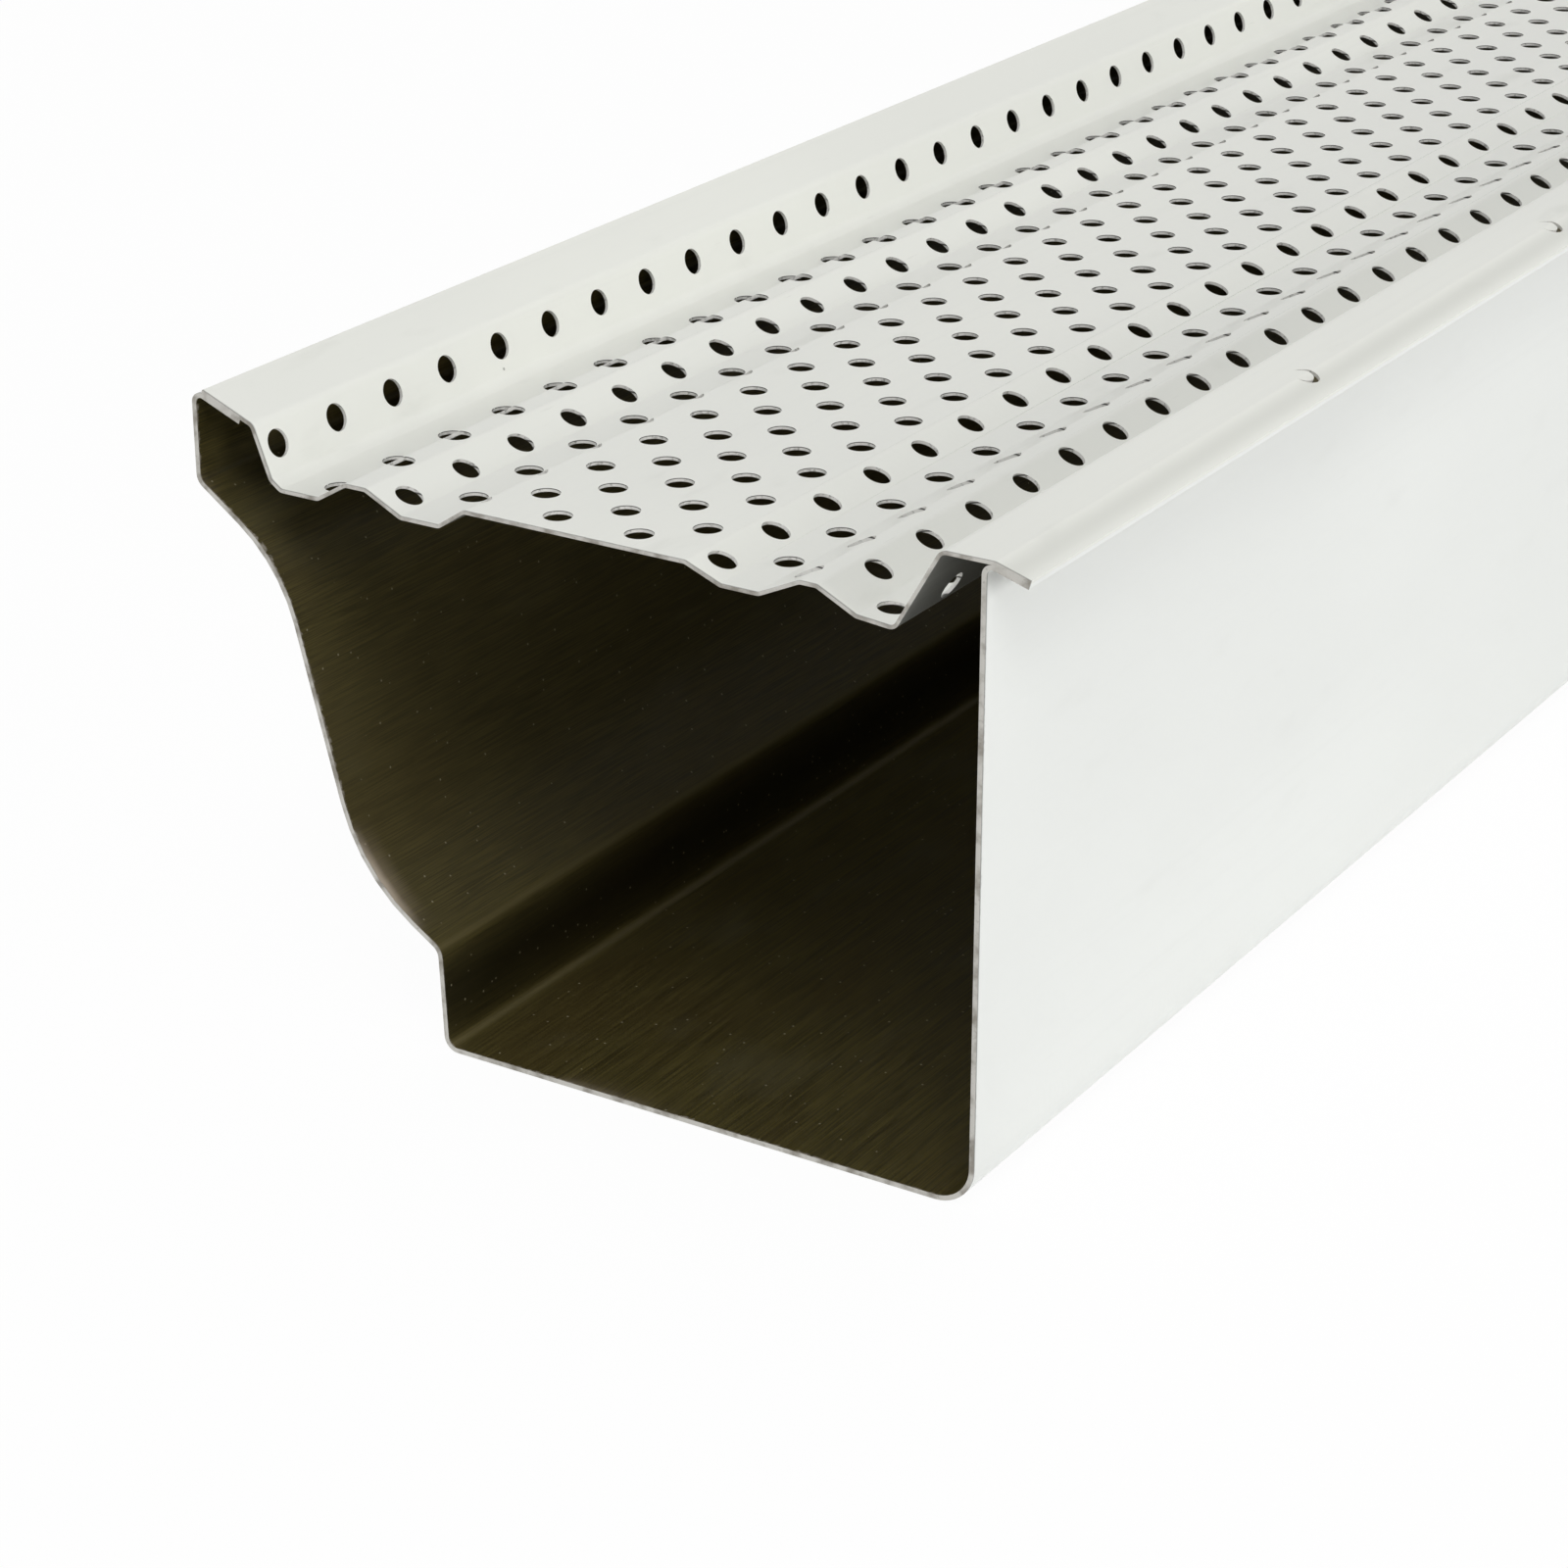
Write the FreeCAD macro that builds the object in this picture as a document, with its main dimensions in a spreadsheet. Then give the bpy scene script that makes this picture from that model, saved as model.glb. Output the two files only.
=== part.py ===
import FreeCAD, Part
import math
import os

# A length of ogee-front rain gutter with a perforated, ribbed gutter guard clinched along its top.
# X runs across from the ogee front to the flat back wall, Y along the length, Z up.

SIZES = [
    # name, millimetres
    ("stock_length", 1219.2),
    # gutter sheet, folded from the front lip round to the back flange
    ("gutter_sheet", 0.7),
    ("lip_run", 8.2),
    ("lip_drop", 3.3),
    ("face_height", 13.5),
    ("cove_run", 13.5),
    ("cove_drop", 9.6),
    ("steep_run", 11.4),
    ("steep_drop", 43.1),
    ("belly_run", 13.1),
    ("belly_drop", 8.5),
    ("foot_run", 0.7),
    ("foot_height", 15.0),
    ("base_width", 84.1),
    ("wall_height", 88.3),
    ("back_flange_run", 5.7),
    ("back_flange_drop", 1.72),
    ("gutter_bend", 0.8),
    ("face_bend", 1.5),
    ("cove_bend", 23.0),
    ("belly_bend", 26.4),
    ("step_bend", 2.0),
    ("back_corner_bend", 5.0),
    # guard sheet, folded from the front edge over the ribs to the back tail
    ("guard_sheet", 0.5),
    ("guard_bend", 1.0),
    ("front_setback", 1.7),
    ("front_flange_run", 8.2),
    ("front_web_run", 2.75),
    ("web_foot_run", 1.75),
    ("web_foot_rise", 1.3),
    ("front_flat", 6.4),
    ("outer_rise_run", 4.7),
    ("front_crest", 3.25),
    ("front_fall_run", 5.7),
    ("front_valley", 6.35),
    ("panel_rise_run", 4.15),
    ("panel_width", 34.3),
    ("panel_fall_run", 5.35),
    ("rear_valley", 5.75),
    ("rear_rise_run", 5.98),
    ("rear_crest", 2.4),
    ("rear_fall_run", 5.7),
    ("rear_flat", 5.7),
    ("rear_flat_fall", 0.5),
    ("rear_web_run", 6.47),
    ("rib_height", 2.8),
    ("rear_lift", 0.7),
    ("valley_level", 77.25),
    # perforations, punched on a staggered grid before the sheet is folded
    ("hole_diameter", 3.97),
    ("hole_pitch", 12.7),
    ("row_spacing", 6.35),
    ("first_hole", 4.9),
    ("hole_edge_margin", 1.0),
    ("grid_shift", 0.75),
    ("rear_row_shift", 1.25),
    ("web_row_drop", 3.4),
    ("web_first_hole", 3.6),
    # crescent lances that clinch the tail to the back flange
    ("clinch_diameter", 4.2),
    ("clinch_gap", 0.3),
    ("clinch_shift_across", 0.45),
    ("clinch_shift_along", 0.3),
    ("clinch_inset", 4.9),
    ("clinch_first", 85.6),
    ("clinch_pitch", 87.0),
]

# Grid rows on the ribs and the panel, counted across the guard from the middle of the panel.
FIRST_GRID_ROW = -7
LAST_GRID_ROW = 8
# From this row on, over the rear rib, the rows stand further back.
FIRST_REAR_ROW = 5


def make_sheet(doc):
    """Spreadsheet with one aliased cell for each driving dimension."""
    sheet = doc.addObject("Spreadsheet::Sheet", "sizes")
    for row, (name, value) in enumerate(SIZES, start=1):
        sheet.set("A%d" % row, name)
        sheet.set("B%d" % row, str(value))
        sheet.setAlias("B%d" % row, name)
    doc.recompute()
    return sheet


def chain(start, steps):
    """Fold points reached from a start point by a list of (across, up) steps."""
    points = [start]
    for across, up in steps:
        x, z = points[-1]
        points.append((x + across, z + up))
    return points


def unit(a, b):
    span = math.hypot(b[0] - a[0], b[1] - a[1])
    return ((b[0] - a[0]) / span, (b[1] - a[1]) / span)


def left_of(direction):
    return (-direction[1], direction[0])


def at_section(point):
    """A point of the section plane as a vector at the near end."""
    return FreeCAD.Vector(point[0], 0, point[1])


def folded_side(points, bends, sheet_thickness, offset):
    """Edges of one side of a folded sheet, offset to the left of its fold points.

    Each bend has its inside radius on the inner side and that radius plus the sheet on the outer side.
    """
    directions = [unit(a, b) for a, b in zip(points, points[1:])]
    normals = [left_of(d) for d in directions]

    def shifted(point, normal):
        return (point[0] + offset * normal[0], point[1] + offset * normal[1])

    edges = []
    here = shifted(points[0], normals[0])
    for index, bend in enumerate(bends, start=1):
        before, after = directions[index - 1], directions[index]
        turn = math.atan2(before[0] * after[1] - before[1] * after[0],
                          before[0] * after[0] + before[1] * after[1])
        half = math.tan(turn / 2)
        corner = shifted(points[index], normals[index - 1])
        corner = (corner[0] - offset * half * before[0], corner[1] - offset * half * before[1])
        on_inside = (turn > 0) == (offset > 0)
        radius = bend if on_inside else bend + sheet_thickness
        reach = radius * abs(half)
        start = (corner[0] - reach * before[0], corner[1] - reach * before[1])
        end = (corner[0] + reach * after[0], corner[1] + reach * after[1])
        side = math.copysign(1, turn)
        centre = (start[0] + side * radius * normals[index - 1][0], start[1] + side * radius * normals[index - 1][1])
        outward = unit(centre, corner)
        middle = (centre[0] + radius * outward[0], centre[1] + radius * outward[1])
        edges.append(Part.makeLine(at_section(here), at_section(start)))
        edges.append(Part.Arc(at_section(start), at_section(middle), at_section(end)).toShape())
        here = end
    last = shifted(points[-1], normals[-1])
    edges.append(Part.makeLine(at_section(here), at_section(last)))
    return edges


def sheet_section(points, bends, thickness):
    """Closed face of a folded sheet: fold points lie on one side, the sheet is to their left."""
    near = folded_side(points, bends, thickness, 0.0)
    far = folded_side(points, bends, thickness, thickness)
    near_ends = (near[0].Vertexes[0].Point, near[-1].Vertexes[-1].Point)
    far_ends = (far[0].Vertexes[0].Point, far[-1].Vertexes[-1].Point)
    caps = [Part.makeLine(a, b) for a, b in zip(near_ends, far_ends)]
    outline = Part.Wire(Part.__sortEdges__(near + far + caps))
    return Part.Face(outline)


def gutter_folds(size):
    """Outer side of the gutter, from the inner edge of the lip to the edge of the back flange."""
    front = -(size.base_width + size.foot_run + size.belly_run + size.steep_run + size.cove_run)
    front_height = size.face_height + size.cove_drop + size.steep_drop + size.belly_drop + size.foot_height
    start = (front + size.lip_run, front_height - size.lip_drop)
    steps = [
        (-size.lip_run, size.lip_drop),
        (0.0, -size.face_height),
        (size.cove_run, -size.cove_drop),
        (size.steep_run, -size.steep_drop),
        (size.belly_run, -size.belly_drop),
        (size.foot_run, -size.foot_height),
        (size.base_width, 0.0),
        (0.0, size.wall_height),
        (size.back_flange_run, -size.back_flange_drop),
    ]
    bends = [size.gutter_bend, size.face_bend, size.cove_bend, size.belly_bend, size.step_bend,
             size.face_bend, size.back_corner_bend, size.gutter_bend]
    return chain(start, steps), bends


def flange_seat(size):
    """Top of the back flange: the crown of its bend, where the guard folds over it, and its outer edge."""
    slope = size.back_flange_drop / size.back_flange_run
    slant = math.hypot(1.0, slope)
    centre_level = size.wall_height - slope * size.gutter_bend - size.gutter_bend * slant
    crown = centre_level + size.gutter_bend + size.gutter_sheet
    top_at_wall = size.wall_height + size.gutter_sheet * slant
    fold = ((top_at_wall - crown) / slope, crown)
    edge_x = size.back_flange_run + size.gutter_sheet * slope / slant
    edge = (edge_x, top_at_wall - slope * edge_x)
    return fold, edge


def guard_folds(size):
    """Underside of the guard, from its front edge on the lip to its tail on the back flange."""
    lip_corner = gutter_folds(size)[0][1]
    lip_slope = size.lip_drop / size.lip_run
    start = (lip_corner[0] + size.front_setback, lip_corner[1] - lip_slope * size.front_setback)
    flange_drop = lip_slope * size.front_flange_run
    web_drop = start[1] - flange_drop - size.web_foot_rise - size.valley_level
    rib = size.rib_height
    steps = [
        (size.front_flange_run, -flange_drop),
        (size.front_web_run, -web_drop),
        (size.web_foot_run, -size.web_foot_rise),
        (size.front_flat, 0.0),
        (size.outer_rise_run, rib),
        (size.front_crest, 0.0),
        (size.front_fall_run, -rib),
        (size.front_valley, 0.0),
        (size.panel_rise_run, rib),
        (size.panel_width, 0.0),
        (size.panel_fall_run, size.rear_lift - rib),
        (size.rear_valley, 0.0),
        (size.rear_rise_run, rib),
        (size.rear_crest, 0.0),
        (size.rear_fall_run, -rib),
        (size.rear_flat, -size.rear_flat_fall),
    ]
    points = chain(start, steps)
    fold, edge = flange_seat(size)
    points.append((points[-1][0] + size.rear_web_run, fold[1]))
    points.append(fold)
    points.append(edge)
    return points


def middle_across(size):
    """Middle of the whole section, from the front face to the outer edge of the guard's tail."""
    front = gutter_folds(size)[0][1][0]
    fold, edge = flange_seat(size)
    tail_top = edge[0] + size.guard_sheet * left_of(unit(fold, edge))[0]
    return (front + tail_top) / 2


def developed(points):
    """Distance along the folded sheet to each fold point."""
    distances = [0.0]
    for a, b in zip(points, points[1:]):
        distances.append(distances[-1] + math.hypot(b[0] - a[0], b[1] - a[1]))
    return distances


def on_sheet(points, distance):
    """Point and upward normal of the sheet's underside at a distance along it."""
    distances = developed(points)
    last = len(points) - 2
    index = next((i for i in range(last) if distance <= distances[i + 1]), last)
    direction = unit(points[index], points[index + 1])
    along = distance - distances[index]
    spot = (points[index][0] + along * direction[0], points[index][1] + along * direction[1])
    return spot, left_of(direction)


def punch_rows(size, points):
    """Distance along the sheet and first hole of every row of perforations."""
    distances = developed(points)
    web_bend = 1
    panel_start = 9
    grid_middle = (distances[panel_start] + distances[panel_start + 1]) / 2 + size.grid_shift
    rows = [(distances[web_bend] + size.web_row_drop, size.web_first_hole)]
    for step in range(FIRST_GRID_ROW, LAST_GRID_ROW + 1):
        stagger = 0.0 if step % 2 else size.hole_pitch / 2
        shift = size.rear_row_shift if step >= FIRST_REAR_ROW else 0.0
        place = grid_middle + step * size.row_spacing + shift
        rows.append((place, size.first_hole + stagger))
    return rows


def places_along(size, first, pitch, radius):
    """Offsets along Y of round cuts at an even pitch that stay clear of the far end."""
    room = size.stock_length - first - radius - size.hole_edge_margin
    return [FreeCAD.Vector(0, first + index * pitch, 0) for index in range(int(room // pitch) + 1)]


def make_perforations(size, points):
    """One cylinder for every perforation, square to the facet that carries it."""
    radius = size.hole_diameter / 2
    reach = 2 * size.guard_sheet + size.rib_height / 2
    punches = []
    for distance, first in punch_rows(size, points):
        spot, normal = on_sheet(points, distance)
        axis = at_section(normal)
        base = at_section(spot) - axis * (reach - size.guard_sheet / 2)
        for along in places_along(size, first, size.hole_pitch, radius):
            punches.append(Part.makeCylinder(radius, 2 * reach, base + along, axis))
    return punches


def make_lances(size, points):
    """One crescent for every clinch on the tail: a round cut less the tab that stays in it."""
    spot, normal = on_sheet(points, developed(points)[-1] - size.clinch_inset)
    axis = at_section(normal)
    across = at_section((normal[1], -normal[0]))
    radius = size.clinch_diameter / 2
    reach = 3 * size.guard_sheet
    base = at_section(spot) - axis * reach
    hinge_side = across * -size.clinch_shift_across - FreeCAD.Vector(0, size.clinch_shift_along, 0)
    cut = Part.makeCylinder(radius, 2 * reach, base, axis)
    tab = Part.makeCylinder(radius - size.clinch_gap, 2 * reach, base + hinge_side, axis)
    crescent = cut.cut(tab)
    return [crescent.translated(along) for along in places_along(size, size.clinch_first, size.clinch_pitch, radius)]


def add_shape(doc, name, shape):
    feature = doc.addObject("Part::Feature", name)
    feature.Shape = shape
    return feature


def extrude_section(doc, name, section):
    """Draw the section out along Y to the stock length."""
    blank = doc.addObject("Part::Extrusion", name)
    blank.Base = section
    blank.DirMode = "Custom"
    blank.Dir = FreeCAD.Vector(0, 1, 0)
    blank.Solid = True
    blank.setExpression("LengthFwd", "sizes.stock_length")
    return blank


def make_gutter(doc, size):
    points, bends = gutter_folds(size)
    section = add_shape(doc, "gutter_section", sheet_section(points, bends, size.gutter_sheet))
    trough = extrude_section(doc, "gutter_trough", section)
    trough.Label = "gutter_trough"
    return trough


def make_guard(doc, size):
    points = guard_folds(size)
    bends = [size.guard_bend] * (len(points) - 2)
    section = add_shape(doc, "guard_section", sheet_section(points, bends, size.guard_sheet))
    blank = extrude_section(doc, "guard_blank", section)
    cuts = make_perforations(size, points) + make_lances(size, points)
    punches = add_shape(doc, "guard_punches", Part.makeCompound(cuts))
    guard = doc.addObject("Part::Cut", "gutter_guard")
    guard.Base = blank
    guard.Tool = punches
    guard.Label = "gutter_guard"
    return guard


def check_document(doc, parts):
    doc.recompute()
    for item in doc.Objects:
        if "Invalid" in item.State or "Error" in item.State:
            raise RuntimeError("%s did not build" % item.Name)
    for part in parts:
        if part.Shape.isNull() or not part.Shape.isValid() or len(part.Shape.Solids) != 1:
            raise RuntimeError("%s is not one valid solid" % part.Label)


def main():
    doc = FreeCAD.newDocument("gutter_guard_length")
    size = make_sheet(doc)
    parts = [make_gutter(doc, size), make_guard(doc, size)]
    middle = FreeCAD.Vector(middle_across(size), size.stock_length / 2, 0)
    for part in parts:
        part.Placement.Base = middle.negative()
    check_document(doc, parts)
    os.makedirs("parts", exist_ok=True)
    for part in parts:
        part.Shape.exportStep("parts/%s.step" % part.Label)
        box = part.Shape.BoundBox
        print("%s: %d faces, %.1f cm3, %.1f x %.1f x %.1f mm" % (
            part.Label, len(part.Shape.Faces), part.Shape.Volume / 1000, box.XLength, box.YLength, box.ZLength))


main()
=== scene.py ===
# %% [markdown]
# # A length of rain gutter with a perforated guard
# The object is two roll-formed sheets: an ogee-front gutter and the punched, ribbed guard that lies
# over its mouth. Both shapes come from the CAD model, where every fold and hole is cut at its real
# size, so this script leaves the meshes alone. Its work is the camera, the finishes of the two sheets,
# and the light.

# %% Load the CAD frame
import math

import bmesh
import bpy
import numpy as np
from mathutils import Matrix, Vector


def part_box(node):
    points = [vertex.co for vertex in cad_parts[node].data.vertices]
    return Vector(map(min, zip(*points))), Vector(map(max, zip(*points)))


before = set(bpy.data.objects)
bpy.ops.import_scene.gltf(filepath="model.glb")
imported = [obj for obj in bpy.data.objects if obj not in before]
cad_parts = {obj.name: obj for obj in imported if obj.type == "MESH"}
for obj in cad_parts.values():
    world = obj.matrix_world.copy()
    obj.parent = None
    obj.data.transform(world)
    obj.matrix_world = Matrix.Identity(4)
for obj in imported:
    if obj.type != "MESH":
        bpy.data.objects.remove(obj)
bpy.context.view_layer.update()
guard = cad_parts["gutter_guard"]
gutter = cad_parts["gutter_trough"]
guard_low, guard_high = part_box("gutter_guard")
gutter_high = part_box("gutter_trough")[1]
half_length = gutter_high.y
scene = bpy.context.scene

# %% [markdown]
# ## The camera
# A product picture like this is taken with a long lens, so that the far end does not shrink too fast.
# The grid of holes and the square end of the gutter fix the lens and the two angles, and the size of
# the section fixes the distance. The camera could also be aimed with a tracking constraint, but plain
# angles are easier to read.

# %% Place the camera
IMAGE_PIXELS = 1600
FOCAL_PIXELS = 4073.5
SENSOR_MM = 36.0
# degrees
LOOK_DOWN = 23.79
TURN_LEFT = 32.08
# metres from the middle of the near end's foot
CAMERA_RIGHT = 0.27555
CAMERA_BACK = 0.39221
CAMERA_UP = 0.25731

lens = bpy.data.cameras.new("product_camera")
lens.sensor_fit = "HORIZONTAL"
lens.sensor_width = SENSOR_MM
lens.lens = SENSOR_MM * FOCAL_PIXELS / IMAGE_PIXELS
camera = bpy.data.objects.new("product_camera", lens)
camera.location = (CAMERA_RIGHT, -half_length - CAMERA_BACK, CAMERA_UP)
camera.rotation_euler = (math.radians(90 - LOOK_DOWN), 0, math.radians(TURN_LEFT))
scene.collection.objects.link(camera)
scene.camera = camera
scene.view_settings.view_transform = "Standard"
print("lens %.1f mm" % lens.lens)

# %% [markdown]
# ## Colours and nodes
# Colours are written as the hex values that a paint card would give. Shaders work on linear light, so
# one function converts them. One more function adds a node, makes its settings and fills its inputs,
# each with a value or with a link from an earlier node. Every material below is built with these two.

# %% Colour and node helpers
MM = 0.001


def linear(hex_colour):
    """Linear RGBA of an sRGB hex colour."""
    parts = [int(hex_colour[i:i + 2], 16) / 255 for i in (1, 3, 5)]
    return tuple(p / 12.92 if p <= 0.04045 else ((p + 0.055) / 1.055) ** 2.4 for p in parts) + (1.0,)


def add_node(tree, kind, inputs=None, **settings):
    """A new node with its settings made and its inputs set or linked."""
    node = tree.nodes.new(kind)
    for name, value in settings.items():
        setattr(node, name, value)
    for name, value in (inputs or {}).items():
        if isinstance(value, bpy.types.NodeSocket):
            tree.links.new(value, node.inputs[name])
        else:
            node.inputs[name].default_value = value
    return node


def new_finish(name):
    """An empty material, its node tree, and the point on the sheet in metres."""
    material = bpy.data.materials.new(name)
    material.use_nodes = True
    tree = material.node_tree
    tree.nodes.clear()
    return material, tree, add_node(tree, "ShaderNodeTexCoord").outputs["Object"]


print("off-white in linear light:", [round(c, 3) for c in linear("#E8E9E3")])

# %% [markdown]
# ## Marks that the finishes share
# Both sheets are coil-coated: painted flat, then slit and rolled to shape. So each finish has marks
# that run with the length. Noise that is squeezed across the sheet and stretched along it draws them. A
# cell pattern with one dot in some of its cells draws dust and specks. The distance to a line of the
# section draws a band where a fold or a wheel pressed the sheet. An image could hold all this, but
# patterns in real millimetres stay sharp from any distance.

# %% Patches, specks and bands


def patches(tree, place, size_mm, fade, amount, detail=2.0):
    """Soft patches of a real size, across and along the sheet.

    The fade gives two levels of the noise: no mark under the first, and the full amount over the second.
    """
    across, along = (1 / (side * MM) for side in size_mm)
    sized = add_node(tree, "ShaderNodeMapping", {"Vector": place, "Scale": (across, along, across)})
    noise = add_node(tree, "ShaderNodeTexNoise", {
        "Vector": sized.outputs[0], "Scale": 1.0, "Detail": detail})
    faded = add_node(tree, "ShaderNodeMapRange", {
        "Value": noise.outputs[0], "From Min": fade[0], "From Max": fade[1],
        "To Min": 0.0, "To Max": amount}, interpolation_type="SMOOTHSTEP")
    return faded.outputs[0]


def specks(tree, place, spacing_mm, radius_mm, share, amount):
    """Small dots: one in a share of the cells of a random pattern."""
    sized = add_node(tree, "ShaderNodeMapping", {"Vector": place, "Scale": [1 / (spacing_mm * MM)] * 3})
    cells = add_node(tree, "ShaderNodeTexVoronoi", {"Vector": sized.outputs[0], "Scale": 1.0})
    draw = add_node(tree, "ShaderNodeSeparateColor", {0: cells.outputs["Color"]})
    chosen = add_node(tree, "ShaderNodeMath", {0: draw.outputs[0], 1: share}, operation="LESS_THAN")
    size = radius_mm / spacing_mm
    dot = add_node(tree, "ShaderNodeMapRange", {
        "Value": cells.outputs["Distance"], "From Min": 0.5 * size, "From Max": size,
        "To Min": amount, "To Max": 0.0})
    kept = add_node(tree, "ShaderNodeMath", {0: dot.outputs[0], 1: chosen.outputs[0]}, operation="MULTIPLY")
    return kept.outputs[0]


def band_along(tree, place, point_mm, width_mm, amount):
    """A soft band that runs with the length, strongest at one point of the section, across and up."""
    x, z = point_mm
    line = add_node(tree, "ShaderNodeVectorMath", {0: place, 1: (x * MM, 0, z * MM)}, operation="SUBTRACT")
    flat = add_node(tree, "ShaderNodeVectorMath", {0: line.outputs[0], 1: (1, 0, 1)}, operation="MULTIPLY")
    away = add_node(tree, "ShaderNodeVectorMath", {0: flat.outputs[0]}, operation="LENGTH")
    band = add_node(tree, "ShaderNodeMapRange", {
        "Value": away.outputs["Value"], "From Min": 0.0, "From Max": width_mm * MM,
        "To Min": amount, "To Max": 0.0}, interpolation_type="SMOOTHSTEP")
    return band.outputs[0]


print("marks ready: patches, specks, bands")

# %% [markdown]
# ## Marks of the shear
# Each length is sheared from the coil after it is painted, so the two ends have lost a little paint.
# The distance to the nearer end draws a ragged edge of this wear, broken up by two sizes of noise, and a
# thin dark line along the very end, which is partly the burr and partly painted shade of the rolled-over
# edge. The chips could be cut into the sheet, but they are only as deep as a coat of paint, so colour is
# enough.

# %% Worn ends and the dark end line
WEAR_EDGE_MM = (-0.15, 0.25)  # how far past its edge the wear starts, and is full
LEAST_WEAR = 0.2  # share of the reach that even a quiet stretch has


def from_ends(tree, place):
    """Distance in metres to the nearer of the two sheared ends."""
    spot = add_node(tree, "ShaderNodeSeparateXYZ", {0: place})
    from_middle = add_node(tree, "ShaderNodeMath", {0: spot.outputs["Y"]}, operation="ABSOLUTE")
    inward = add_node(tree, "ShaderNodeMath", {
        0: half_length, 1: from_middle.outputs[0]}, operation="SUBTRACT")
    return inward.outputs[0]


def worn_ends(tree, place, reach_mm, amount):
    """Ragged wear along the two sheared ends, longer in some stretches than in others."""
    ragged = patches(tree, place, size_mm=(0.9, 0.9), fade=(0.3, 0.75), amount=1.0, detail=3.0)
    stretch = patches(tree, place, size_mm=(11, 11), fade=(0.42, 0.72), amount=1.0)
    depth = add_node(tree, "ShaderNodeMath", {
        0: stretch, 1: 1 - LEAST_WEAR, 2: LEAST_WEAR}, operation="MULTIPLY_ADD")
    reach = add_node(tree, "ShaderNodeMath", {0: ragged, 1: depth.outputs[0]}, operation="MULTIPLY")
    edge = add_node(tree, "ShaderNodeMath", {0: reach.outputs[0], 1: reach_mm * MM}, operation="MULTIPLY")
    past = add_node(tree, "ShaderNodeMath", {
        0: edge.outputs[0], 1: from_ends(tree, place)}, operation="SUBTRACT")
    worn = add_node(tree, "ShaderNodeMapRange", {
        "Value": past.outputs[0], "From Min": WEAR_EDGE_MM[0] * MM, "From Max": WEAR_EDGE_MM[1] * MM,
        "To Min": 0.0, "To Max": amount})
    return worn.outputs[0]


def burr_and_shade_line(tree, place, width_mm, amount):
    """A thin dark line at the two ends: partly burr, partly painted shade of the rolled-over edge."""
    line = add_node(tree, "ShaderNodeMapRange", {
        "Value": from_ends(tree, place), "From Min": 0.0, "From Max": width_mm * MM,
        "To Min": amount, "To Max": 0.0})
    return line.outputs[0]


print("marks ready: worn ends, burr and shade line")

# %% [markdown]
# ## A film of paint
# Every coat on the two sheets is one thin film: layers of colour, each laid through the mask of a mark,
# then a roughness that follows one of the marks, and a relief of two hundredths of a millimetre at
# most. Separate shaders could be mixed instead, but one shader with a painted colour is simpler and
# exports well.

# %% Layers and film
PAINT_IOR = 1.5  # typical of a paint resin
SATIN = 0.3  # the flatting agent in a satin film takes away part of its gloss
RELIEF_STRENGTH = 0.5


def layered(tree, base, layers):
    """A base colour with further colours laid over it, each through its own mask.

    The colour sockets of a Mix node are its inputs 6 and 7 and its output 2.
    """
    colour = linear(base)
    for mask, over in layers:
        layer = add_node(tree, "ShaderNodeMix", {0: mask, 6: colour, 7: linear(over)}, data_type="RGBA")
        colour = layer.outputs[2]
    return colour


def coated(tree, colour, gloss_mask, roughness, relief, relief_mm):
    """A paint film: its colour, a roughness between two values, and a fine relief."""
    smooth, rough = roughness
    gloss = add_node(tree, "ShaderNodeMapRange", {"Value": gloss_mask, "To Min": smooth, "To Max": rough})
    bump = add_node(tree, "ShaderNodeBump", {
        "Height": relief, "Strength": RELIEF_STRENGTH, "Distance": relief_mm * MM})
    film = add_node(tree, "ShaderNodeBsdfPrincipled", {
        "Base Color": colour, "Roughness": gloss.outputs[0], "IOR": PAINT_IOR, "Specular IOR Level": SATIN,
        "Normal": bump.outputs[0]})
    add_node(tree, "ShaderNodeOutputMaterial", {"Surface": film.outputs[0]})


print("paint film ready, index of refraction", PAINT_IOR)

# %% [markdown]
# ## White polyester coil coat
# The weather side of both sheets is baked satin polyester. To the eye it is an even off-white with a soft
# sheen: the tone drifts slowly over the sheet, faint lines run with the length where the forming rolls
# pressed, a few grey rubs and specks come from handling, and at the sheared ends the film is chipped, with
# a thin dark line along the very end that is partly burr and partly painted shade. The film's orange peel
# is about half a millimetre, and is drawn at about one so that it shows. The guard's coat is a shade warmer
# than the gutter's and more handled. Along its tail, which is pressed down on the gutter's flange, a duller
# band is painted shade. One function makes both.

# %% White coats
# a point of the guard's tail in mm, across and up, where a band of painted shade runs
SHADED_TAIL = (guard_high.x / MM - 2.5, guard_high.z / MM - 1.1)


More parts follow.
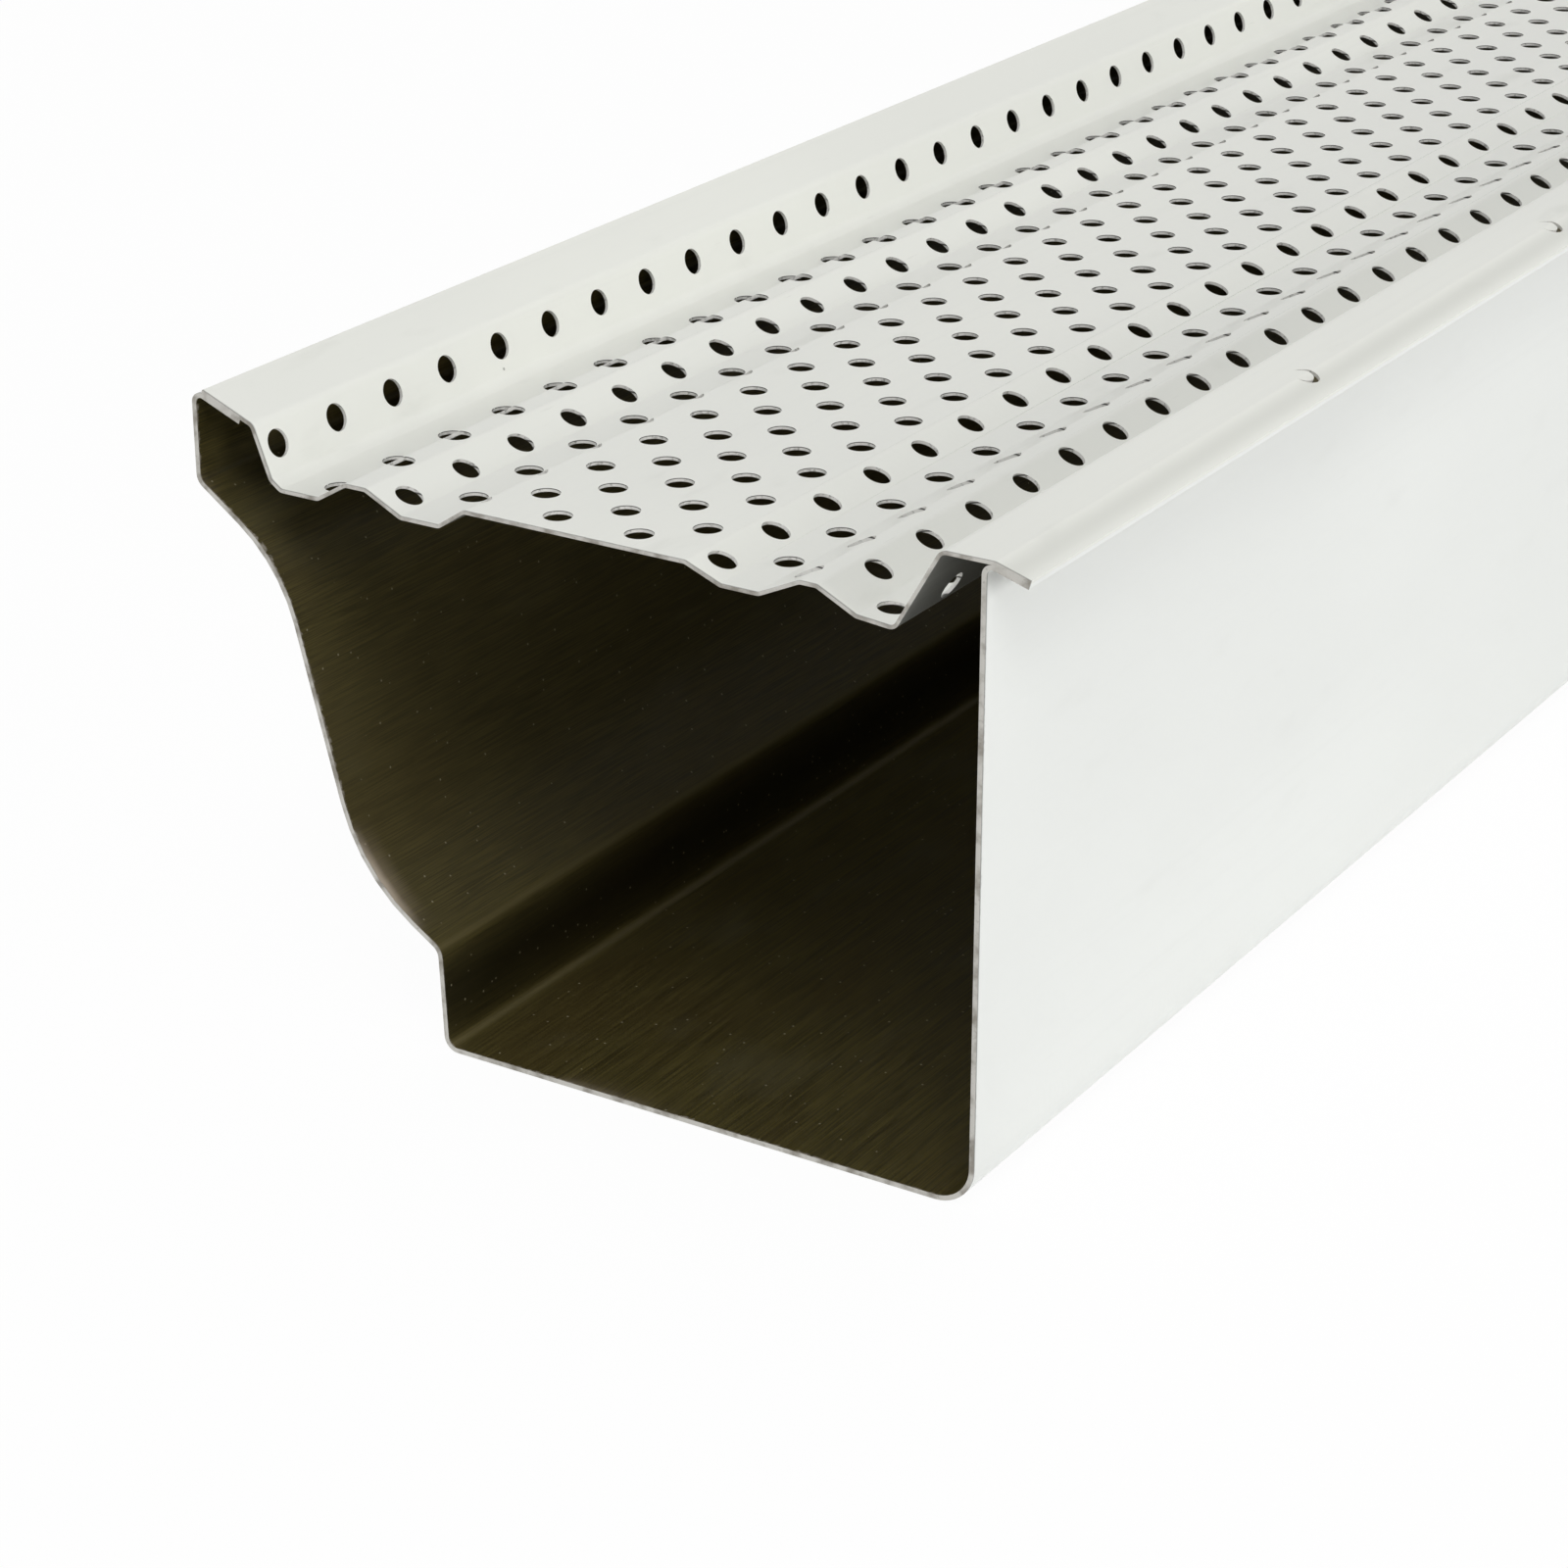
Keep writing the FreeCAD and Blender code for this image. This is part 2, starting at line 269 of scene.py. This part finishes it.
def white_coat(name, base, shade, rub, handled, tail_shade):
    """A white coat with its three colours, the strength of its rubs and that of the painted shade along the
    tail.
    """
    material, tree, place = new_finish(name)
    drift = patches(tree, place, size_mm=(60, 150), fade=(0.36, 0.68), amount=0.85)
    roll_lines = patches(tree, place, size_mm=(1.3, 120), fade=(0.5, 0.78), amount=0.3, detail=3.0)
    rubs = patches(tree, place, size_mm=(8, 22), fade=(0.6, 0.8), amount=handled, detail=5.0)
    scuffs = patches(tree, place, size_mm=(0.7, 9), fade=(0.7, 0.8), amount=handled, detail=3.0)
    colour = layered(tree, base, [
        (drift, shade),
        (roll_lines, shade),
        (rubs, rub),
        (scuffs, rub),
        # painted shade: a darker band along the tail, in the rub colour
        (band_along(tree, place, SHADED_TAIL, width_mm=3.4, amount=tail_shade), rub),
        (specks(tree, place, spacing_mm=13, radius_mm=0.3, share=0.16, amount=0.75), "#83837C"),
        (worn_ends(tree, place, reach_mm=0.5, amount=0.6), "#A9AAA6"),
        # a thin dark line at the ends: partly burr, partly painted shade
        (burr_and_shade_line(tree, place, width_mm=0.35, amount=0.95), "#4D4C47"),
    ])
    peel = patches(tree, place, size_mm=(1.1, 1.1), fade=(0.2, 0.8), amount=1.0, detail=1.0)
    coated(tree, colour, rubs, roughness=(0.34, 0.62), relief=peel, relief_mm=0.012)
    return material


gutter_white = white_coat(
    "white_polyester_coil_coat", "#E9EBE8", shade="#E4E6E3", rub="#D6D7D3", handled=0.15, tail_shade=0.0)
guard_white = white_coat(
    "warm_white_polyester_coil_coat", "#E9EAE3", shade="#E2E3DD", rub="#CFD0C9", handled=0.35, tail_shade=0.75)
print("made", gutter_white.name, "and", guard_white.name)

# %% [markdown]
# ## Bronze backing coat
# The inside of the gutter has the thin dark coat that coil makers roll on the reverse of white sheet.
# To the eye it is olive-bronze, nearly black in the shade, with long fine streaks from the coating
# roll, a tenth to a fifth of a millimetre wide, browner and paler clouds, hair scratches and dust.
# Brushes and hands have rubbed the sheared ends paler than the base, most of all at the end of the belly,
# where pale metal shows through. The ogee front is painted a little paler as painted light, and the riser
# of the step much darker as painted shade. Two pale lines along the step's folds are partly rub and partly
# painted highlight.

# %% Rub at the ends
BELLY = (-35.0, 23.8)  # a point of the section in mm, across and up


def rubbed_rim(tree, place, width_mm, amount):
    """A soft rub that fades inwards from the sheared ends, on the belly and in some stretches."""
    fade = add_node(tree, "ShaderNodeMapRange", {
        "Value": from_ends(tree, place), "From Min": 0.0, "From Max": width_mm * MM,
        "To Min": amount, "To Max": 0.0}, interpolation_type="SMOOTHSTEP")
    stretch = patches(tree, place, size_mm=(21, 40), fade=(0.5, 0.68), amount=0.15)
    belly = band_along(tree, place, BELLY, width_mm=10.0, amount=1.0)
    where = add_node(tree, "ShaderNodeMath", {0: stretch, 1: belly}, operation="MAXIMUM")
    rub = add_node(tree, "ShaderNodeMath", {0: fade.outputs[0], 1: where.outputs[0]}, operation="MULTIPLY")
    return rub.outputs[0]


print("mark ready: rubbed rim")

# %% Bronze coat
# points of the section in mm, across and up
# the middle of a band of painted light that makes the ogee front paler
LIT_OGEE_FRONT = (-40.0, 40.0)
# the middle of a band of painted shade on the riser of the step
SHADED_RISER = (-25.4, 8.2)
# the two folds of the step, with pale lines that are partly rub and partly painted highlight
STEP_FOLD_RUB_AND_HIGHLIGHT = [(-26.2, 15.4), (-24.6, 1.0)]

gutter_bronze, tree, place = new_finish("bronze_backing_coat")
streaks = patches(tree, place, size_mm=(0.13, 11), fade=(0.36, 0.66), amount=1.0)
brown_clouds = patches(tree, place, size_mm=(30, 55), fade=(0.45, 0.7), amount=0.35)
pale_clouds = patches(tree, place, size_mm=(16, 34), fade=(0.54, 0.72), amount=0.3, detail=4.0)
scratches = patches(tree, place, size_mm=(0.25, 22), fade=(0.68, 0.8), amount=0.4, detail=3.0)
layers = [
    (streaks, "#4F4722"),
    (brown_clouds, "#3A2C0D"),
    (pale_clouds, "#57523C"),
    (scratches, "#6C6440"),
    # painted light: a paler band over the ogee front
    (band_along(tree, place, LIT_OGEE_FRONT, width_mm=62.0, amount=0.25), "#6A6246"),
    # painted shade: a near-black band on the riser of the step
    (band_along(tree, place, SHADED_RISER, width_mm=9.5, amount=0.78), "#100D04"),
]
# pale lines along the step's folds: partly rub, partly painted highlight
for fold in STEP_FOLD_RUB_AND_HIGHLIGHT:
    layers.append((band_along(tree, place, fold, width_mm=2.6, amount=0.25), "#675D31"))
    layers.append((band_along(tree, place, fold, width_mm=0.9, amount=0.3), "#7A7050"))
layers += [
    (specks(tree, place, spacing_mm=1.5, radius_mm=0.2, share=0.25, amount=0.8), "#9B937A"),
    (rubbed_rim(tree, place, width_mm=5.0, amount=0.5), "#A3947E"),
    (rubbed_rim(tree, place, width_mm=1.8, amount=0.9), "#C8BAA9"),
    (worn_ends(tree, place, reach_mm=0.8, amount=0.8), "#A8A196"),
]
colour = layered(tree, "#302A10", layers)
coated(tree, colour, streaks, roughness=(0.42, 0.5), relief=streaks, relief_mm=0.004)
print("made", gutter_bronze.name, "of", len(layers), "layers")

# %% [markdown]
# ## Grey wash coat
# The underside of the guard has a plain grey wash coat. To the eye it is a dull middle grey with the
# same lengthwise lines and a few darker clouds and specks. Little of it shows, so it has no more than
# that.

# %% Grey coat
guard_grey, tree, place = new_finish("grey_wash_coat")
roll_lines = patches(tree, place, size_mm=(0.8, 45), fade=(0.35, 0.7), amount=1.0, detail=3.0)
clouds = patches(tree, place, size_mm=(22, 55), fade=(0.45, 0.7), amount=0.5)
colour = layered(tree, "#878883", [
    (roll_lines, "#979893"),
    (clouds, "#7B7C77"),
    (specks(tree, place, spacing_mm=6, radius_mm=0.25, share=0.2, amount=0.5), "#5F605B"),
])
coated(tree, colour, roll_lines, roughness=(0.42, 0.55), relief=roll_lines, relief_mm=0.012)
print("made", guard_grey.name)

# %% [markdown]
# ## Bare aluminium
# Where a sheet was sheared after painting, the bare aluminium shows. To the eye such a cut is pale and
# fairly even, a little duller where the metal tore than where the blade burnished it. A metal keeps the
# default index of refraction.

# %% Cut metal
bare_metal, tree, place = new_finish("sheared_bare_aluminium")
torn = patches(tree, place, size_mm=(3, 3), fade=(0.42, 0.68), amount=1.0, detail=5.0)
pits = patches(tree, place, size_mm=(0.5, 0.5), fade=(0.6, 0.8), amount=0.5)
colour = layered(tree, "#C0BEB8", [(torn, "#918D85"), (pits, "#77746C")])
gloss = add_node(tree, "ShaderNodeMapRange", {"Value": torn, "To Min": 0.32, "To Max": 0.5})
bump = add_node(tree, "ShaderNodeBump", {"Height": torn, "Strength": 0.4, "Distance": 0.03 * MM})
metal = add_node(tree, "ShaderNodeBsdfPrincipled", {
    "Base Color": colour, "Metallic": 1.0, "Roughness": gloss.outputs[0], "Normal": bump.outputs[0]})
add_node(tree, "ShaderNodeOutputMaterial", {"Surface": metal.outputs[0]})
print("made", bare_metal.name)

# %% [markdown]
# ## Walls of the holes
# The punch that made the holes dragged paint down their walls, so these are not bare: to the eye they are
# pale, with scored patches. Its pressure also rolled the rim over, and the shade under that rolled rim is
# painted as a thin dark line at the top of each wall. A pattern knows its place but not the hole that it is
# in, so the line is drawn at the heights of the guard's level faces, which have about half of the rows, and
# the rows on slopes mostly go without.

# %% Hole walls
# heights in mm of the guard's level faces: panel and crest, rear valley, front valley
LEVEL_FACES = [80.55, 78.45, 77.75]


def rim_shade_line(tree, place, level_mm, depth_mm, amount):
    """A thin line of painted shade on the walls of the holes, at the height of the face that they are
    punched in.
    """
    spot = add_node(tree, "ShaderNodeSeparateXYZ", {0: place})
    below = add_node(tree, "ShaderNodeMath", {0: level_mm * MM, 1: spot.outputs["Z"]}, operation="SUBTRACT")
    away = add_node(tree, "ShaderNodeMath", {0: below.outputs[0]}, operation="ABSOLUTE")
    line = add_node(tree, "ShaderNodeMapRange", {
        "Value": away.outputs[0], "From Min": 0.5 * depth_mm * MM, "From Max": depth_mm * MM,
        "To Min": amount, "To Max": 0.0})
    return line.outputs[0]


punched_wall, tree, place = new_finish("paint_dragged_over_punched_aluminium")
scored = patches(tree, place, size_mm=(0.6, 0.6), fade=(0.5, 0.75), amount=1.0, detail=3.0)
layers = [(scored, "#A3A29D")]
for level in LEVEL_FACES:
    # painted shade: a thin dark line under the rolled rim of each hole
    layers.append((rim_shade_line(tree, place, level, depth_mm=0.17, amount=0.9), "#2F2E2A"))
colour = layered(tree, "#E2E1DC", layers)
coated(tree, colour, scored, roughness=(0.45, 0.6), relief=scored, relief_mm=0.02)
print("made", punched_wall.name)

# %% [markdown]
# ## Which face gets which finish
# Each CAD piece is one closed sheet, so the way a face looks says which side of the sheet it is on. On
# the gutter, a face that looks away from the middle of the channel is weather side. On the guard, a
# face that looks up is weather side, and so are the two long edges unless they look clearly down.
# Whatever looks along the length is a cut: a sheared end, or further in the wall of a punched hole. The
# top of the back flange is reverse side, because the flange is folded outwards. Painting by hand would
# give the same result, but this rule still holds when the section changes a little.

# %% Read the faces and lay finishes
WEATHER, REVERSE, CUT, PUNCHED = 0, 1, 2, 3
# parts of a face's unit normal
ALONG_LIMIT = 0.02
UP_LIMIT = 0.5
DOWN_LIMIT = -0.45
# metres
FLANGE_WIDTH = 6.5 * MM
EDGE_WIDTH = 1.0 * MM
END_DEPTH = 0.05 * MM
CHANNEL_MIDDLE = np.array([0.005, 0.045])  # across and up


def face_table(piece):
    """Centres and normals of a piece's faces."""
    faces = piece.data.polygons
    centres, normals = np.zeros(len(faces) * 3), np.zeros(len(faces) * 3)
    faces.foreach_get("center", centres)
    faces.foreach_get("normal", normals)
    return centres.reshape(-1, 3), normals.reshape(-1, 3)


def lay_finishes(piece, materials, finish):
    """Give the piece its materials and each face its finish."""
    piece.data.materials.clear()
    for material in materials:
        piece.data.materials.append(material)
    piece.data.polygons.foreach_set("material_index", finish.astype(np.int32))
    piece.data.update()
    print(piece.name, {m.name: int((finish == i).sum()) for i, m in enumerate(materials)})


print("faces:", len(gutter.data.polygons), "and", len(guard.data.polygons))

# %% Finishes of the gutter
centres, normals = face_table(gutter)
outward = ((centres[:, [0, 2]] - CHANNEL_MIDDLE) * normals[:, [0, 2]]).sum(1)
finish = np.where(outward > 0, WEATHER, REVERSE)
on_flange = centres[:, 0] > gutter_high.x - FLANGE_WIDTH
finish[on_flange & (normals[:, 2] > UP_LIMIT)] = REVERSE
finish[np.abs(normals[:, 1]) > ALONG_LIMIT] = CUT
lay_finishes(gutter, [gutter_white, gutter_bronze, bare_metal], finish)

# %% Finishes of the guard
centres, normals = face_table(guard)
finish = np.where(normals[:, 2] > DOWN_LIMIT, WEATHER, REVERSE)
off_edges = (centres[:, 0] > guard_low.x + EDGE_WIDTH) & (centres[:, 0] < guard_high.x - EDGE_WIDTH)
finish[off_edges & (normals[:, 2] < 0)] = REVERSE
cut = np.abs(normals[:, 1]) > ALONG_LIMIT
at_end = np.abs(centres[:, 1]) > half_length - END_DEPTH
finish[cut & at_end] = CUT
finish[cut & ~at_end] = PUNCHED
lay_finishes(guard, [guard_white, guard_grey, bare_metal, punched_wall], finish)

# %% [markdown]
# ## Floor and world
# The object stands on a white paper sweep. The floor and the world are white to the camera and to
# reflections, and give the object a lower, even light. The floor keeps a trace of the shadow, because a
# small share of it stays plain paper. Brighter lamps would also turn it white, but would wash out the
# pale sheets.

# %% Floor
BACKGROUND_SHARE = 0.96
WHITE = (1.0, 1.0, 1.0, 1.0)
FLOOR_REACH = 6.0  # metres from the middle to each side
FLOOR_GAP = 0.2 * MM  # keeps the floor clear of the gutter's base


def seen_directly(tree):
    """1 for camera, mirror and see-through rays, 0 for light that falls on the object."""
    path = add_node(tree, "ShaderNodeLightPath")
    seen = path.outputs["Is Camera Ray"]
    for ray in ("Is Glossy Ray", "Is Transmission Ray"):
        either = add_node(tree, "ShaderNodeMath", {0: seen, 1: path.outputs[ray]}, operation="MAXIMUM")
        seen = either.outputs[0]
    return seen


floor_shape = bmesh.new()
bmesh.ops.create_grid(floor_shape, x_segments=1, y_segments=1, size=FLOOR_REACH)
floor_mesh = bpy.data.meshes.new("white_floor")
floor_shape.to_mesh(floor_mesh)
floor_shape.free()
floor = bpy.data.objects.new("white_floor", floor_mesh)
floor.location.z = -FLOOR_GAP
scene.collection.objects.link(floor)

sweep, tree, _ = new_finish("white_paper_sweep")
paper = add_node(tree, "ShaderNodeBsdfDiffuse", {"Color": linear("#F6F6F5")})
glow = add_node(tree, "ShaderNodeEmission", {"Color": WHITE, "Strength": 1.0})
share = add_node(tree, "ShaderNodeMath", {
    0: seen_directly(tree), 1: BACKGROUND_SHARE}, operation="MULTIPLY")
mixed = add_node(tree, "ShaderNodeMixShader", {
    0: share.outputs[0], 1: paper.outputs[0], 2: glow.outputs[0]})
add_node(tree, "ShaderNodeOutputMaterial", {"Surface": mixed.outputs[0]})
floor_mesh.materials.append(sweep)
print("made", floor.name, "of", sweep.name)

# %% World
SKY_LEVEL = 0.34

world = bpy.data.worlds.new("white_studio")
scene.world = world
world.use_nodes = True
tree = world.node_tree
tree.nodes.clear()
level = add_node(tree, "ShaderNodeMapRange", {
    "Value": seen_directly(tree), "To Min": SKY_LEVEL, "To Max": 1.0})
sky = add_node(tree, "ShaderNodeBackground", {"Color": WHITE, "Strength": level.outputs[0]})
add_node(tree, "ShaderNodeOutputWorld", {"Surface": sky.outputs[0]})
print("made", world.name)

# %% [markdown]
# ## Lamps
# Four softboxes light the object: one low at the back-wall side, one high in front of the open end, and
# two weaker ones over the near half and at the ogee front, so that the wall is the brightest face and a
# little light falls in on the bronze. With the even world light they add up to a level at which each
# paint renders about as its hex value says. One large lamp would be simpler, but would leave the wall
# and the guard alike.

# %% Softboxes
LAMPS = [
    # name, place and target in metres, side of the softbox in metres, watts
    ("wall_softbox", (1.7, -0.5, 0.5), (0.0, -0.45, 0.05), 0.7, 11.0),
    ("end_softbox", (0.5, -1.55, 1.85), (0.0, -0.55, 0.03), 0.9, 13.5),
    ("top_softbox", (0.4, -0.9, 1.75), (0.0, -0.4, 0.08), 1.2, 4.9),
    ("front_softbox", (-1.7, 0.2, 0.8), (0.0, 0.0, 0.05), 1.2, 5.0),
]
for name, spot, target, side, watts in LAMPS:
    light = bpy.data.lights.new(name, "AREA")
    light.shape = "SQUARE"
    light.size = side
    light.energy = watts
    lamp = bpy.data.objects.new(name, light)
    lamp.location = spot
    lamp.rotation_euler = (Vector(target) - Vector(spot)).to_track_quat("-Z", "Y").to_euler()
    scene.collection.objects.link(lamp)
print("made", len(LAMPS), "softboxes")
